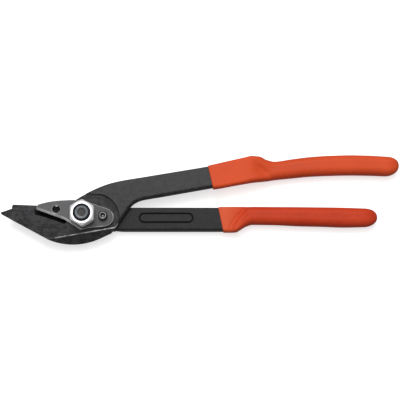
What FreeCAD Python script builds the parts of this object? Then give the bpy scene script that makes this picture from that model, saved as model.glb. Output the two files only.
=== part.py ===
"""Steel strap cutter, 12 inch class: two forged levers on one bolt, with dipped grips.

Frame: X runs from the pivot towards the handles, Y across the tool towards the upper
handle, Z along the pivot bolt towards the nut. The origin is on the pivot axis, on the
outer face of the bolt head, which is the plane that the tool lies on. Units: mm.
"""
import FreeCAD, Part
import math
import os

Vector = FreeCAD.Vector
os.makedirs("parts", exist_ok=True)

# ---- stack along the pivot bolt (Z levels) ----
HEAD_HEIGHT = 4.5          # low hexagon head
WASHER_THICKNESS = 1.2
FACE_GAP = 0.1             # running gap between faces that slide on each other
WEB_THICKNESS = 5.0        # both jaws and both pivot webs
PLATE_THICKNESS = 3.0
NUT_HEIGHT = 10.8          # M12 full nut
THREAD_STANDOUT = 1.0

WASHER_TOP = HEAD_HEIGHT + WASHER_THICKNESS
LOWER_BACK = WASHER_TOP + FACE_GAP
LOWER_FRONT = LOWER_BACK + WEB_THICKNESS
UPPER_BACK = LOWER_FRONT + FACE_GAP
MILLED_FACE = UPPER_BACK + WEB_THICKNESS
PLATE_TOP = MILLED_FACE + PLATE_THICKNESS
NUT_TOP = PLATE_TOP + NUT_HEIGHT
BOLT_END = NUT_TOP + THREAD_STANDOUT

# ---- handle bars ----
RECESS_DEPTH = 1.5         # the jaw face is milled this much below the handle face
BAR_THICKNESS = 8.0
BAR_EDGE_RADIUS = 0.9
UNDER_EDGE_RADIUS = 2.2    # the rounder front edge along the underside of the upper handle
BAR_DRAFT = 1.1            # how far the lower bar's underside flares towards its back
UPPER_FRONT = MILLED_FACE + RECESS_DEPTH
UPPER_BAR_BACK = UPPER_FRONT - BAR_THICKNESS
LOWER_BAR_BACK = LOWER_FRONT - BAR_THICKNESS

# ---- dipped grips ----
COAT = 1.1                 # thickness of the vinyl coat on the bars
TANG_COAT = 2.2            # and on the rounder tang under the hand
TANG_EDGE_RADIUS = 0.6     # least rounding of the tang's corners
BAR_END = 108.0            # where the flat bar steps down to the tang, under the coat
GRIP_THICKNESS = 14.4      # both grips reach the resting plane
GRIP_CORNER = 5.2
STATION_STEP = 3.5         # spacing of the cross-sections along a handle
LEAST_FLAT = 0.1           # flat left on each side between a section's corners
TIP_SHARES = (0.35, 0.6, 0.8, 0.92, 0.985)  # where the sections of a rounded tip lie

# ---- pivot fasteners ----
BOLT_RADIUS = 6.0          # M12
HEX_ACROSS_FLATS = 18.0
NUT_FACE_RADIUS = 8.4      # flat ring inside the nut's chamfer
NUT_MOUTH_CHAMFER = 0.8
BOLT_FACE_RADIUS = 8.6     # flat of the bolt head inside its chamfer
BOLT_HEAD_TURN = 12.0      # degrees, as the head happens to sit
FIT_GAP = 0.05             # radial gap round the bolt and inside the lower lever
BUSHING_RADIUS = 8.0
PIVOT_WASHER_RADIUS = 12.0
BOLT_END_CHAMFER = 1.2
BOLT_DIMPLE_RADIUS = 3.4
BOLT_DIMPLE_DEPTH = 0.5

# ---- hold-down plate screw, M4 with a socket head ----
SCREW_X, SCREW_Y = 15.4, -1.3
SCREW_RADIUS = 2.0
SCREW_HEAD_RADIUS = 3.5
SCREW_HEAD_HEIGHT = 4.0
SCREW_SOCKET_FLATS = 3.0
SCREW_SOCKET_DEPTH = 2.2
SCREW_SOCKET_TURN = 20.0   # degrees
SCREW_HEAD_CHAMFER = 0.4
SCREW_TIP_Z = UPPER_BACK + 0.4

# ---- jaws ----
HUB_RADIUS = 13.5          # web of the lower lever round the pivot
RECESS_RADIUS = 18.1       # run-out arc of the milled face
RECESS_X, RECESS_Y = 9.3, -2.2
RECESS_TURN = -5.0         # degrees, the way that the face mill runs along the jaw
UNDERSIDE_SLOPE = 29.0     # degrees, facet below the lower jaw
BACK_BEVEL_SLOPE = 35.0    # degrees, relief on the back of the upper jaw
PLATE_BEVEL = 1.4          # ground bevel along the strap slot
PLATE_HOLE_RADIUS = 3.1
PLATE_HOLE_X, PLATE_HOLE_Y = -20.6, 3.9

# ---- ring groove in the lower bar ----
GROOVE_LEFT, GROOVE_RIGHT = 42.9, 83.9
GROOVE_TOP, GROOVE_BOTTOM = 1.8, -5.0
GROOVE_WIDTH = 1.4
GROOVE_DEPTH = 1.1

# Stations along each coated handle, outside the coat: x, top y, bottom y, middle z,
# thickness, corner radius. The bar flares to a shoulder, then necks to the grip.
GRIP_MID = GRIP_THICKNESS / 2
COATED_BAR = BAR_THICKNESS + 2 * COAT
UPPER_BAR_MID = UPPER_FRONT - BAR_THICKNESS / 2
LOWER_BAR_MID = LOWER_FRONT - BAR_THICKNESS / 2

UPPER_STATIONS = [
    (104, 40.2, 21.0, UPPER_BAR_MID, COATED_BAR, 2.2),
    (113, 42.3, 22.7, UPPER_BAR_MID, COATED_BAR, 2.2),
    (123, 44.7, 24.6, 12.9, 10.6, 2.4),
    (130, 46.3, 25.9, 11.9, 11.4, 3.0),
    (135.5, 46.1, 26.7, 10.4, 12.6, 3.8),
    (141, 43.8, 27.5, 8.8, 13.8, 4.6),
    (147, 42.6, 28.6, 7.6, GRIP_THICKNESS, 5.0),
    (160, 44.4, 30.0, GRIP_MID, GRIP_THICKNESS, GRIP_CORNER),
    (175, 46.3, 31.5, GRIP_MID, GRIP_THICKNESS, GRIP_CORNER),
    (191, 47.4, 32.2, GRIP_MID, GRIP_THICKNESS, GRIP_CORNER),
    (206, 47.8, 32.5, GRIP_MID, GRIP_THICKNESS, GRIP_CORNER),
    (220, 47.5, 32.3, GRIP_MID, GRIP_THICKNESS, GRIP_CORNER),
    (234, 46.7, 31.8, GRIP_MID, GRIP_THICKNESS, GRIP_CORNER),
]
UPPER_TIP = (244.4, 39.9)

LOWER_STATIONS = [
    (104, 7.0, -12.3, LOWER_BAR_MID, COATED_BAR, 2.2),
    (112, 7.1, -12.4, LOWER_BAR_MID, COATED_BAR, 2.2),
    (117, 7.1, -12.2, LOWER_BAR_MID, 10.6, 2.4),
    (121, 7.2, -10.2, 7.0, 12.0, 3.4),
    (125, 7.2, -7.9, GRIP_MID, 13.6, 4.6),
    (130, 7.2, -6.5, GRIP_MID, GRIP_THICKNESS, GRIP_CORNER),
    (147, 7.1, -6.7, GRIP_MID, GRIP_THICKNESS, GRIP_CORNER),
    (167, 7.0, -7.6, GRIP_MID, GRIP_THICKNESS, GRIP_CORNER),
    (185, 6.8, -8.0, GRIP_MID, GRIP_THICKNESS, GRIP_CORNER),
    (201, 6.5, -8.5, GRIP_MID, GRIP_THICKNESS, GRIP_CORNER),
    (216, 6.0, -8.2, GRIP_MID, GRIP_THICKNESS, GRIP_CORNER),
]
LOWER_TIP = (226.6, -0.8)

# Where each coat begins: a point at its top edge and one at its bottom edge.
UPPER_COAT_START = ((95.4, 38.7), (99.6, 20.2))
LOWER_COAT_START = ((103.4, 7.0), (107.4, -12.3))
COAT_OVERRUN = 14.0        # length beyond its first station that a coat is cut back from
BEYOND = 100.0             # reaches past everything
FACET_REACH = 60.0         # half the width of the space that a facet clears
NEAR = 0.01                # tolerance when edges are chosen by their place


def point(x, y, z=0.0):
    return Vector(x, y, z)


def line(start, end):
    return Part.makeLine(point(*start), point(*end))


def arc(start, middle, end):
    return Part.Arc(point(*start), point(*middle), point(*end)).toShape()


def curve(points, start_direction=None, end_direction=None):
    """A smooth curve through a few points, with its end directions if they are given."""
    spline = Part.BSplineCurve()
    options = {}
    if start_direction and end_direction:
        options["InitialTangent"] = point(*start_direction)
        options["FinalTangent"] = point(*end_direction)
    spline.interpolate([point(*p) for p in points], **options)
    return spline.toShape()


def slab(edges, low, high):
    """The solid between two levels inside a closed outline."""
    wire = Part.Wire(Part.__sortEdges__(edges))
    face = Part.Face(wire)
    solid = face.extrude(point(0, 0, high - low))
    solid.translate(point(0, 0, low))
    return solid


def polygon(points):
    closed = list(points) + [points[0]]
    return [line(a, b) for a, b in zip(closed, closed[1:])]


def cylinder(radius, low, high, x=0.0, y=0.0):
    return Part.makeCylinder(radius, high - low, point(x, y, low))


def hexagon(across_flats, low, high, corner_angle, x=0.0, y=0.0):
    radius = across_flats / math.sqrt(3)
    angles = [math.radians(corner_angle + 60 * k) for k in range(6)]
    corners = [(x + radius * math.cos(a), y + radius * math.sin(a)) for a in angles]
    return slab(polygon(corners), low, high)


def turned_cone(flat_radius, low, high, top_chamfered, bottom_chamfered):
    """The round body that chamfers a hexagon's corners at 30 degrees."""
    outer = HEX_ACROSS_FLATS
    drop = (outer - flat_radius) * math.tan(math.radians(30))
    body = cylinder(outer, low, high)
    if top_chamfered:
        cap = Part.makeCone(outer, flat_radius, drop, point(0, 0, high - drop))
        body = body.cut(cylinder(outer, high - drop, high)).fuse(cap)
    if bottom_chamfered:
        cap = Part.makeCone(flat_radius, outer, drop, point(0, 0, low))
        body = body.cut(cylinder(outer, low, low + drop)).fuse(cap)
    return body


def facet(line_start, line_end, level, slope):
    """The wedge of space beyond a line, above a plane that falls away from it."""
    run = FACET_REACH
    along = point(*line_end) - point(*line_start)
    length = along.Length
    along.normalize()
    outward = point(along.y, -along.x)
    profile = [
        point(0, 0, level),
        outward * run + point(0, 0, level - run * math.tan(math.radians(slope))),
        outward * run + point(0, 0, level + run),
        point(0, 0, level + run),
    ]
    edges = [Part.makeLine(a, b) for a, b in zip(profile, profile[1:] + profile[:1])]
    wedge = Part.Face(Part.Wire(edges)).extrude(along * (length + 2 * run))
    wedge.translate(point(*line_start) - along * run)
    return wedge


def section(x, top, bottom, middle, thickness, corner):
    """A rounded rectangle across the handle at one station."""
    half_y = (top - bottom) / 2
    half_z = thickness / 2
    centre_y = (top + bottom) / 2
    radius = min(corner, half_y - LEAST_FLAT, half_z - LEAST_FLAT)
    reach = radius * (1 - math.sqrt(0.5))

    def at(y, z):
        return point(x, centre_y + y, middle + z)

    edges = []
    for sy, sz in ((1, 1), (1, -1), (-1, -1), (-1, 1)):
        side = at(sy * half_y, sz * (half_z - radius))
        bend = at(sy * (half_y - reach), sz * (half_z - reach))
        face = at(sy * (half_y - radius), sz * half_z)
        first, last = (face, side) if sy * sz > 0 else (side, face)
        edges.append(Part.Arc(first, bend, last).toShape())
    joined = []
    for this_edge, next_edge in zip(edges, edges[1:] + edges[:1]):
        joined.append(this_edge)
        joined.append(Part.makeLine(this_edge.Vertexes[-1].Point, next_edge.Vertexes[0].Point))
    return Part.Wire(joined)


def loft(stations):
    return Part.makeLoft([section(*s) for s in stations], True, True)


def end_slopes(xs, values):
    """Slopes for a cubic through the values that never swings past them."""
    steps = [(b - a) / (x2 - x1) for a, b, x1, x2 in zip(values, values[1:], xs, xs[1:])]
    slopes = [steps[0]]
    for before, after in zip(steps, steps[1:]):
        same_way = before * after > 0
        slopes.append(2 * before * after / (before + after) if same_way else 0.0)
    slopes.append(steps[-1])
    return slopes


def smoothed(stations, step):
    """The same handle with stations at short even steps, on smooth curves."""
    xs = [s[0] for s in stations]
    columns = list(zip(*stations))[1:]
    slopes = [end_slopes(xs, column) for column in columns]
    fine = []
    for k, (x1, x2) in enumerate(zip(xs, xs[1:])):
        span = x2 - x1
        count = max(1, round(span / step))
        for i in range(count):
            t = i / count
            row = [x1 + span * t]
            for column, slope in zip(columns, slopes):
                value = column[k] * (1 + 2 * t) * (1 - t) ** 2 + column[k + 1] * t * t * (3 - 2 * t)
                value += span * (slope[k] * t * (1 - t) ** 2 - slope[k + 1] * t * t * (1 - t))
                row.append(value)
            fine.append(tuple(row))
    fine.append(tuple(stations[-1]))
    return fine


def with_rounded_tip(stations, tip):
    """Adds stations that close a handle's end like a half ellipse."""
    x_base, top, bottom, middle, thickness, corner = stations[-1]
    x_tip, y_tip = tip
    length = x_tip - x_base
    closed = list(stations)
    for share in TIP_SHARES:
        size = math.sqrt(1 - share ** 2)
        centre = (top + bottom) / 2 * (1 - share ** 2) + y_tip * share ** 2
        half = (top - bottom) / 2 * size
        x = x_base + length * share
        closed.append((x, centre + half, centre - half, middle, thickness * size, corner * size))
    return closed


def inside(stations, inset):
    """The same stations for the bare metal, under a coat of the given thickness."""
    bare = []
    for x, top, bottom, middle, thickness, corner in stations:
        rounding = max(corner - inset, TANG_EDGE_RADIUS)
        bare.append((x, top - inset, bottom + inset, middle, thickness - 2 * inset, rounding))
    return bare


def handle(stations, tip, inset=0.0):
    """All the stations of a handle, outside its coat or under it."""
    fine = inside(smoothed(stations, STATION_STEP), inset)
    return with_rounded_tip(fine, (tip[0] - inset, tip[1]))


def coat_body(stations, tip, start):
    """The outside of a dipped grip, cut square through at its slanted start."""
    (x_top, y_top), (x_bottom, y_bottom) = start
    x_first, top, bottom = stations[0][:3]
    x_second, next_top, next_bottom = stations[1][:3]
    share = COAT_OVERRUN / (x_second - x_first)
    early = (x_first - COAT_OVERRUN, top - share * (next_top - top), bottom - share * (next_bottom - bottom))
    body = loft([early + stations[0][3:]] + handle(stations, tip))
    lean = (x_top - x_bottom) / (y_top - y_bottom)
    removed = [
        (x_bottom - lean * BEYOND, y_bottom - BEYOND),
        (x_top + lean * BEYOND, y_top + BEYOND),
        (x_top - 2 * BEYOND, y_top + BEYOND),
        (x_top - 2 * BEYOND, y_bottom - BEYOND),
    ]
    return body.cut(slab(polygon(removed), -BEYOND, BEYOND))


def cleaned(shape):
    """One valid solid, without the seams that joining leaves."""
    tidy = shape.removeSplitter()
    return tidy.Solids[0] if len(tidy.Solids) == 1 else tidy


# ---- upper lever: upper handle and lower jaw in one forging, in front ----
UPPER_TOP_SLOPE = 0.168
UPPER_BOTTOM_SLOPE = 0.178
UPPER_TOP_REF = (46.3, 29.3)
UPPER_BOTTOM_REF = (47.3, 12.25)
UPPER_RAMP = (54.0, 64.0)  # where the back of the bar thickens


def upper_top(x):
    return UPPER_TOP_REF[1] + (x - UPPER_TOP_REF[0]) * UPPER_TOP_SLOPE


def upper_bottom(x):
    return UPPER_BOTTOM_REF[1] + (x - UPPER_BOTTOM_REF[0]) * UPPER_BOTTOM_SLOPE


def backing(top, bottom, ramp, low, high):
    """The extra thickness on the back of a bar, with a sloped start."""
    x_start, x_full = ramp
    corners = [
        (x_start, bottom(x_start)),
        (BAR_END, bottom(BAR_END)),
        (BAR_END, top(BAR_END)),
        (x_start, top(x_start)),
    ]
    pad = slab(polygon(corners), low, high)
    sides = [e for e in pad.Edges if e.BoundBox.ZMax < low + NEAR and e.BoundBox.XLength > 1.0]
    pad = pad.makeFillet(BAR_EDGE_RADIUS, sides)
    slope = math.degrees(math.atan2(high - low, x_full - x_start))
    ramp_space = facet((x_full, -BEYOND), (x_full, BEYOND), -low, slope)
    ramp_space = mirrored_down(ramp_space.mirror(point(x_full, 0, 0), point(1, 0, 0)))
    return pad.cut(ramp_space)


def upper_lever():
    nose_high = (-63.4, 1.9)
    nose_low = (-63.1, 0.7)
    heel = (-26.8, -18.8)
    underside_end = (12.0, -18.2)
    corner = (21.2, -13.9)
    bend = (27.4, -6.4)
    crotch = (34.6, 4.5)
    throat = (-15.8, -6.6)
    step = (-55.5, 4.6)
    shoulder = (-6.5, 11.3)
    end_low = (BAR_END, upper_bottom(BAR_END))
    end_high = (BAR_END, upper_top(BAR_END))
    outline = [
        line(nose_high, nose_low),
        line(nose_low, heel),
        arc(heel, (-8.3, -22.5), underside_end),
        line(underside_end, corner),
        line(corner, bend),
        line(bend, crotch),
        curve([crotch, (39.4, 9.4), UPPER_BOTTOM_REF], (0.55, 0.84), (1.0, UPPER_BOTTOM_SLOPE)),
        line(UPPER_BOTTOM_REF, end_low),
        line(end_low, end_high),
        line(end_high, UPPER_TOP_REF),
        curve([UPPER_TOP_REF, (34.0, 27.3), (20.0, 24.2), (6.0, 18.5), shoulder]),
        line(shoulder, (-12.9, -4.6)),
        arc((-12.9, -4.6), (-13.5, -6.4), throat),
        arc(throat, (-40.8, 1.3), step),
        line(step, nose_high),
    ]
    head = slab(outline, UPPER_BACK, UPPER_FRONT)
    head = head.makeFillet(UNDER_EDGE_RADIUS, handle_front_edges(head, bend, True))
    head = head.makeFillet(BAR_EDGE_RADIUS, handle_front_edges(head, bend, False))
    head = head.cut(milled_space())
    head = head.cut(facet(heel, (22.2, -10.2), MILLED_FACE, UNDERSIDE_SLOPE))
    pad = backing(upper_top, upper_bottom, UPPER_RAMP, UPPER_BAR_BACK, UPPER_BACK)
    tang = loft(handle(UPPER_STATIONS, UPPER_TIP, TANG_COAT))
    lever = head.fuse(pad).fuse(tang)
    lever = lever.cut(cylinder(BOLT_RADIUS + FIT_GAP, 0, BOLT_END))
    lever = lever.cut(cylinder(SCREW_RADIUS, 0, PLATE_TOP, SCREW_X, SCREW_Y))
    return cleaned(lever)


def handle_front_edges(head, bend, underside):
    """The handle's front edges along its underside, or along its upper side."""
    above_shoulder = 11.0
    chosen = []
    for edge in head.Edges:
        box = edge.BoundBox
        middle = edge.CenterOfMass
        on_front = box.ZMin > UPPER_FRONT - NEAR
        on_handle = box.XMin > bend[0] - NEAR or box.YMin > above_shoulder
        across_end = box.XMin > BAR_END - NEAR
        below = abs(middle.y - upper_bottom(middle.x)) < abs(middle.y - upper_top(middle.x))
        if on_front and on_handle and not across_end and below == underside:
            chosen.append(edge)
    return chosen


def milled_space():
    """What a face mill clears as it runs along the jaw and stops round the pivot."""
    disc = cylinder(RECESS_RADIUS, MILLED_FACE, NUT_TOP, RECESS_X, RECESS_Y)
    corner = point(-BEYOND, -RECESS_RADIUS, 0)
    track = Part.makeBox(BEYOND, 2 * RECESS_RADIUS, NUT_TOP - MILLED_FACE, corner)
    track.rotate(point(0, 0), point(0, 0, 1), RECESS_TURN)
    track.translate(point(RECESS_X, RECESS_Y, MILLED_FACE))
    return disc.fuse(track)


# ---- lower lever: lower handle and upper jaw in one forging, behind ----
LOWER_TOP = 6.4
LOWER_BOTTOM = -11.7
LOWER_RAMP = (22.0, 32.0)


def on_hub(angle):
    """A point on the rim of the lower lever's web, at an angle in degrees."""
    return (HUB_RADIUS * math.cos(math.radians(angle)), HUB_RADIUS * math.sin(math.radians(angle)))


def lower_top(x):
    return LOWER_TOP


def lower_bottom(x):
    return LOWER_BOTTOM


def lower_bar_draft(start_x):
    """What forging draft takes off the underside of the lower bar, most of it at the front."""
    slope = math.degrees(math.atan2(BAR_THICKNESS, BAR_DRAFT))
    front_line = LOWER_BOTTOM + BAR_DRAFT
    wedge = facet((start_x, front_line), (BAR_END, front_line), LOWER_FRONT, slope)
    along_bar = Part.makeBox(2 * BEYOND, BEYOND, 2 * BEYOND, point(start_x, -BEYOND, -BEYOND))
    return wedge.common(along_bar)


def lower_lever():
    neck_end = 24.0
    heel = (-15.6, -9.2)
    outline = [
        line((-56.2, 3.0), (-55.6, 7.3)),
        arc((-55.6, 7.3), (-55.1, 8.4), (-54.0, 8.7)),
        line((-54.0, 8.7), (-38.7, 8.0)),
        line((-38.7, 8.0), (-21.0, 7.4)),
        line((-21.0, 7.4), on_hub(128)),
        arc(on_hub(128), on_hub(90), on_hub(62)),
        line(on_hub(62), (neck_end, LOWER_TOP)),
        line((neck_end, LOWER_TOP), (BAR_END, LOWER_TOP)),
        line((BAR_END, LOWER_TOP), (BAR_END, LOWER_BOTTOM)),
        line((BAR_END, LOWER_BOTTOM), (neck_end, LOWER_BOTTOM)),
        line((neck_end, LOWER_BOTTOM), on_hub(-80)),
        arc(on_hub(-80), on_hub(-105), on_hub(-130)),
        line(on_hub(-130), heel),
        arc(heel, (-38.0, -2.2), (-56.2, 3.0)),
    ]
    head = slab(outline, LOWER_BACK, LOWER_FRONT)
    draft = lower_bar_draft(neck_end)
    head = head.cut(draft)
    front = [e for e in head.Edges if e.BoundBox.ZMin > LOWER_FRONT - NEAR]
    bar_edges = [e for e in front if e.BoundBox.XMin > neck_end - NEAR and e.BoundBox.XLength > 1.0]
    head = head.makeFillet(BAR_EDGE_RADIUS, bar_edges)
    back_bevel = facet((-18.0, 4.4), (-58.0, 5.4), -LOWER_BACK, BACK_BEVEL_SLOPE)
    head = head.cut(mirrored_down(back_bevel))
    pad = backing(lower_top, lower_bottom, LOWER_RAMP, LOWER_BAR_BACK, LOWER_BACK).cut(draft)
    tang = loft(handle(LOWER_STATIONS, LOWER_TIP, TANG_COAT))
    lever = head.fuse(pad).fuse(tang)
    lever = lever.cut(cylinder(BUSHING_RADIUS + FIT_GAP, 0, UPPER_BACK))
    lever = lever.cut(ring_groove())
    return cleaned(lever)


def mirrored_down(shape):
    """A shape built for a front face, turned over so that it works on a back face."""
    return shape.mirror(point(0, 0, 0), point(0, 0, 1))


def stadium(grow):
    """A slot-shaped prism round the groove's centre line, grown by the given amount."""
    radius = (GROOVE_TOP - GROOVE_BOTTOM) / 2
    centre_y = (GROOVE_TOP + GROOVE_BOTTOM) / 2
    x_left, x_right = GROOVE_LEFT + radius, GROOVE_RIGHT - radius
    r = radius + grow
    outline = [
        line((x_left, centre_y + r), (x_right, centre_y + r)),
        arc((x_right, centre_y + r), (x_right + r, centre_y), (x_right, centre_y - r)),
        line((x_right, centre_y - r), (x_left, centre_y - r)),
        arc((x_left, centre_y - r), (x_left - r, centre_y), (x_left, centre_y + r)),
    ]
    return slab(outline, LOWER_FRONT - GROOVE_DEPTH, LOWER_FRONT + 1.0)


def ring_groove():
    return stadium(GROOVE_WIDTH / 2).cut(stadium(-GROOVE_WIDTH / 2))


# ---- grips ----
def grip(stations, tip, start, lever):
    return cleaned(coat_body(stations, tip, start).cut(lever))


# ---- hold-down plate: keeps the strap in the slot above the lower jaw ----
def hold_down_plate():
    tip_low = (-36.2, 3.9)
    tip_high = (-34.6, 7.5)
    slot_end = (-14.3, -3.9)
    corner = (-1.9, -12.0)
    lobe_x, lobe_y, lobe_radius = 16.4, -2.3, 7.0
    lobe_top = (19.0, 4.2)
    lobe_bottom = (16.8, -9.29)
    outline = [
        line(tip_low, slot_end),
        line(slot_end, corner),
        line(corner, (6.0, -10.3)),
        line((6.0, -10.3), lobe_bottom),
        arc(lobe_bottom, (lobe_x + lobe_radius, lobe_y), lobe_top),
        line(lobe_top, (8.0, 7.9)),
        curve([(8.0, 7.9), (-6.0, 11.1), (-14.0, 11.0), (-24.0, 10.1), tip_high]),
        line(tip_high, tip_low),
    ]
    plate = slab(outline, MILLED_FACE, PLATE_TOP)
    slot_top_y, slot_right_x = 1.5, -5.0
    bevelled = []
    for edge in plate.Edges:
        on_top = edge.BoundBox.ZMin > PLATE_TOP - NEAR
        middle = edge.CenterOfMass
        if on_top and middle.y < slot_top_y and middle.x < slot_right_x:
            bevelled.append(edge)
    plate = plate.makeChamfer(PLATE_BEVEL, bevelled)
    plate = plate.cut(cylinder(BOLT_RADIUS + FIT_GAP, 0, BOLT_END))
    plate = plate.cut(cylinder(SCREW_RADIUS + FIT_GAP, 0, BOLT_END, SCREW_X, SCREW_Y))
    plate = plate.cut(cylinder(PLATE_HOLE_RADIUS, 0, BOLT_END, PLATE_HOLE_X, PLATE_HOLE_Y))
    return cleaned(plate)


# ---- pivot fasteners ----
def pivot_bolt():
    head = hexagon(HEX_ACROSS_FLATS, 0, HEAD_HEIGHT, BOLT_HEAD_TURN)
    head = head.common(turned_cone(BOLT_FACE_RADIUS, 0, HEAD_HEIGHT, False, True))
    shank = cylinder(BOLT_RADIUS, HEAD_HEIGHT, BOLT_END - BOLT_END_CHAMFER)
    end_radius = BOLT_RADIUS - BOLT_END_CHAMFER
    end = Part.makeCone(BOLT_RADIUS, end_radius, BOLT_END_CHAMFER, point(0, 0, BOLT_END - BOLT_END_CHAMFER))
    dimple = Part.makeCone(BOLT_DIMPLE_RADIUS - BOLT_DIMPLE_DEPTH, BOLT_DIMPLE_RADIUS, BOLT_DIMPLE_DEPTH,
                           point(0, 0, BOLT_END - BOLT_DIMPLE_DEPTH))
    return cleaned(head.fuse(shank).fuse(end).cut(dimple))


def pivot_nut():
    nut = hexagon(HEX_ACROSS_FLATS, PLATE_TOP, NUT_TOP, 90.0)
    nut = nut.common(turned_cone(NUT_FACE_RADIUS, PLATE_TOP, NUT_TOP, True, True))
    nut = nut.cut(cylinder(BOLT_RADIUS + FIT_GAP, PLATE_TOP, NUT_TOP))
    mouth_radius = BOLT_RADIUS + NUT_MOUTH_CHAMFER
    mouth_start = point(0, 0, NUT_TOP - NUT_MOUTH_CHAMFER)
    mouth = Part.makeCone(BOLT_RADIUS, mouth_radius, NUT_MOUTH_CHAMFER, mouth_start)
    return cleaned(nut.cut(mouth))


def pivot_washer():
    washer = cylinder(PIVOT_WASHER_RADIUS, HEAD_HEIGHT, WASHER_TOP)
    return washer.cut(cylinder(BOLT_RADIUS + FIT_GAP, 0, WASHER_TOP))


def pivot_bushing():
    sleeve = cylinder(BUSHING_RADIUS, WASHER_TOP, UPPER_BACK)
    return sleeve.cut(cylinder(BOLT_RADIUS + FIT_GAP, 0, UPPER_BACK))


def plate_screw():
    top = PLATE_TOP + SCREW_HEAD_HEIGHT
    head = cylinder(SCREW_HEAD_RADIUS, PLATE_TOP, top, SCREW_X, SCREW_Y)
    rim = [edge for edge in head.Edges if edge.BoundBox.ZMin > top - NEAR]
    head = head.makeChamfer(SCREW_HEAD_CHAMFER, rim)
    socket = hexagon(SCREW_SOCKET_FLATS, top - SCREW_SOCKET_DEPTH, top, SCREW_SOCKET_TURN, SCREW_X, SCREW_Y)
    shank = cylinder(SCREW_RADIUS, SCREW_TIP_Z, PLATE_TOP, SCREW_X, SCREW_Y)
    return cleaned(head.fuse(shank).cut(socket))


def write(name, shape):
    bad = not shape.isValid() or not shape.Solids
    print(f"{name}: {len(shape.Solids)} solid, {shape.Volume / 1000:.2f} cm3", "NOT VALID" if bad else "")
    shape.exportStep(f"parts/{name}.step")


upper = upper_lever()
lower = lower_lever()
write("upper_lever", upper)
write("lower_lever", lower)
write("upper_grip", grip(UPPER_STATIONS, UPPER_TIP, UPPER_COAT_START, upper))
write("lower_grip", grip(LOWER_STATIONS, LOWER_TIP, LOWER_COAT_START, lower))
write("hold_down_plate", hold_down_plate())
write("pivot_bolt", pivot_bolt())
write("pivot_nut", pivot_nut())
write("pivot_washer", pivot_washer())
write("pivot_bushing", pivot_bushing())
write("plate_screw", plate_screw())
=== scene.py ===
"""Looks of the steel strap cutter: forged steel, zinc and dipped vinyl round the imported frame."""

import math

import bmesh
import bpy
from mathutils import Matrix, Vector, noise


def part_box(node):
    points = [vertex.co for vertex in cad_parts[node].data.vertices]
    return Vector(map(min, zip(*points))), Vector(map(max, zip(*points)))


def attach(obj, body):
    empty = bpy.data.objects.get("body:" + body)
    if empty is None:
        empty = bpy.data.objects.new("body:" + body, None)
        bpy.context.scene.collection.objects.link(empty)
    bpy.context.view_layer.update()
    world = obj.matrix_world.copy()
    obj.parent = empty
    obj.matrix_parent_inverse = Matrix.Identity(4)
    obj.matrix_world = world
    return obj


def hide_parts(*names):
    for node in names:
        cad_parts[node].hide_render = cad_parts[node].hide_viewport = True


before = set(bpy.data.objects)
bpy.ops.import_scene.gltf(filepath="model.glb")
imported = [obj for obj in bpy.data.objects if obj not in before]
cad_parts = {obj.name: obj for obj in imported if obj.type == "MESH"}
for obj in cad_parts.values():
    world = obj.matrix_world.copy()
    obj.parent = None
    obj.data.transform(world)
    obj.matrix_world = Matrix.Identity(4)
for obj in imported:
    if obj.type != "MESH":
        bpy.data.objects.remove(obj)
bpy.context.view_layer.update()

MM = 0.001

# Sizes shared with the design, in millimetres.
NODES = {name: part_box(name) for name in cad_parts}


def level(node, corner):
    """The lowest (0) or highest (1) Z of a node, in millimetres."""
    return NODES[node][corner][2] / MM


HEAD_HEIGHT = level("pivot_washer", 0)
WASHER_TOP = level("pivot_washer", 1)
MILLED_FACE = level("hold_down_plate", 0)
PLATE_TOP = level("pivot_nut", 0)
NUT_TOP = level("pivot_nut", 1)
BOLT_END = level("pivot_bolt", 1)
FACE_GAP = 0.1
LOWER_FRONT = level("pivot_bushing", 1) - FACE_GAP
BOLT_RADIUS = 6.0
HEX_ACROSS_FLATS = 18.0
THREAD_PITCH = 1.75
THREAD_DEPTH = 0.5
WASHER_RADIUS = 12.0
BAR_END = 108.0
# Centre and radius of the round end of the upper lever's milled recess.
RUNOUT_X, RUNOUT_Y, RUNOUT_RADIUS = 9.3, -2.2, 18.1
# The strap slot runs below the line y + slope x = line, from its left end; the lower lever's face there is
# painted black as the slot's deep shade.
SLOT_SLOPE = 0.356
SLOT_LINE = -7.6
SLOT_LEFT = -38.0
# Black painted into the strap slot as its shade.
SLOT_SHADE = (0.0008, 0.0008, 0.0008)
# Where the plate's tone changes along X, and where the lower coat turns from its unshaded start to colours
# darkened as painted shade.
PLATE_TONES = (-16.0, 12.0)
COAT_TONES = (110.0, 124.0)


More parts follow.
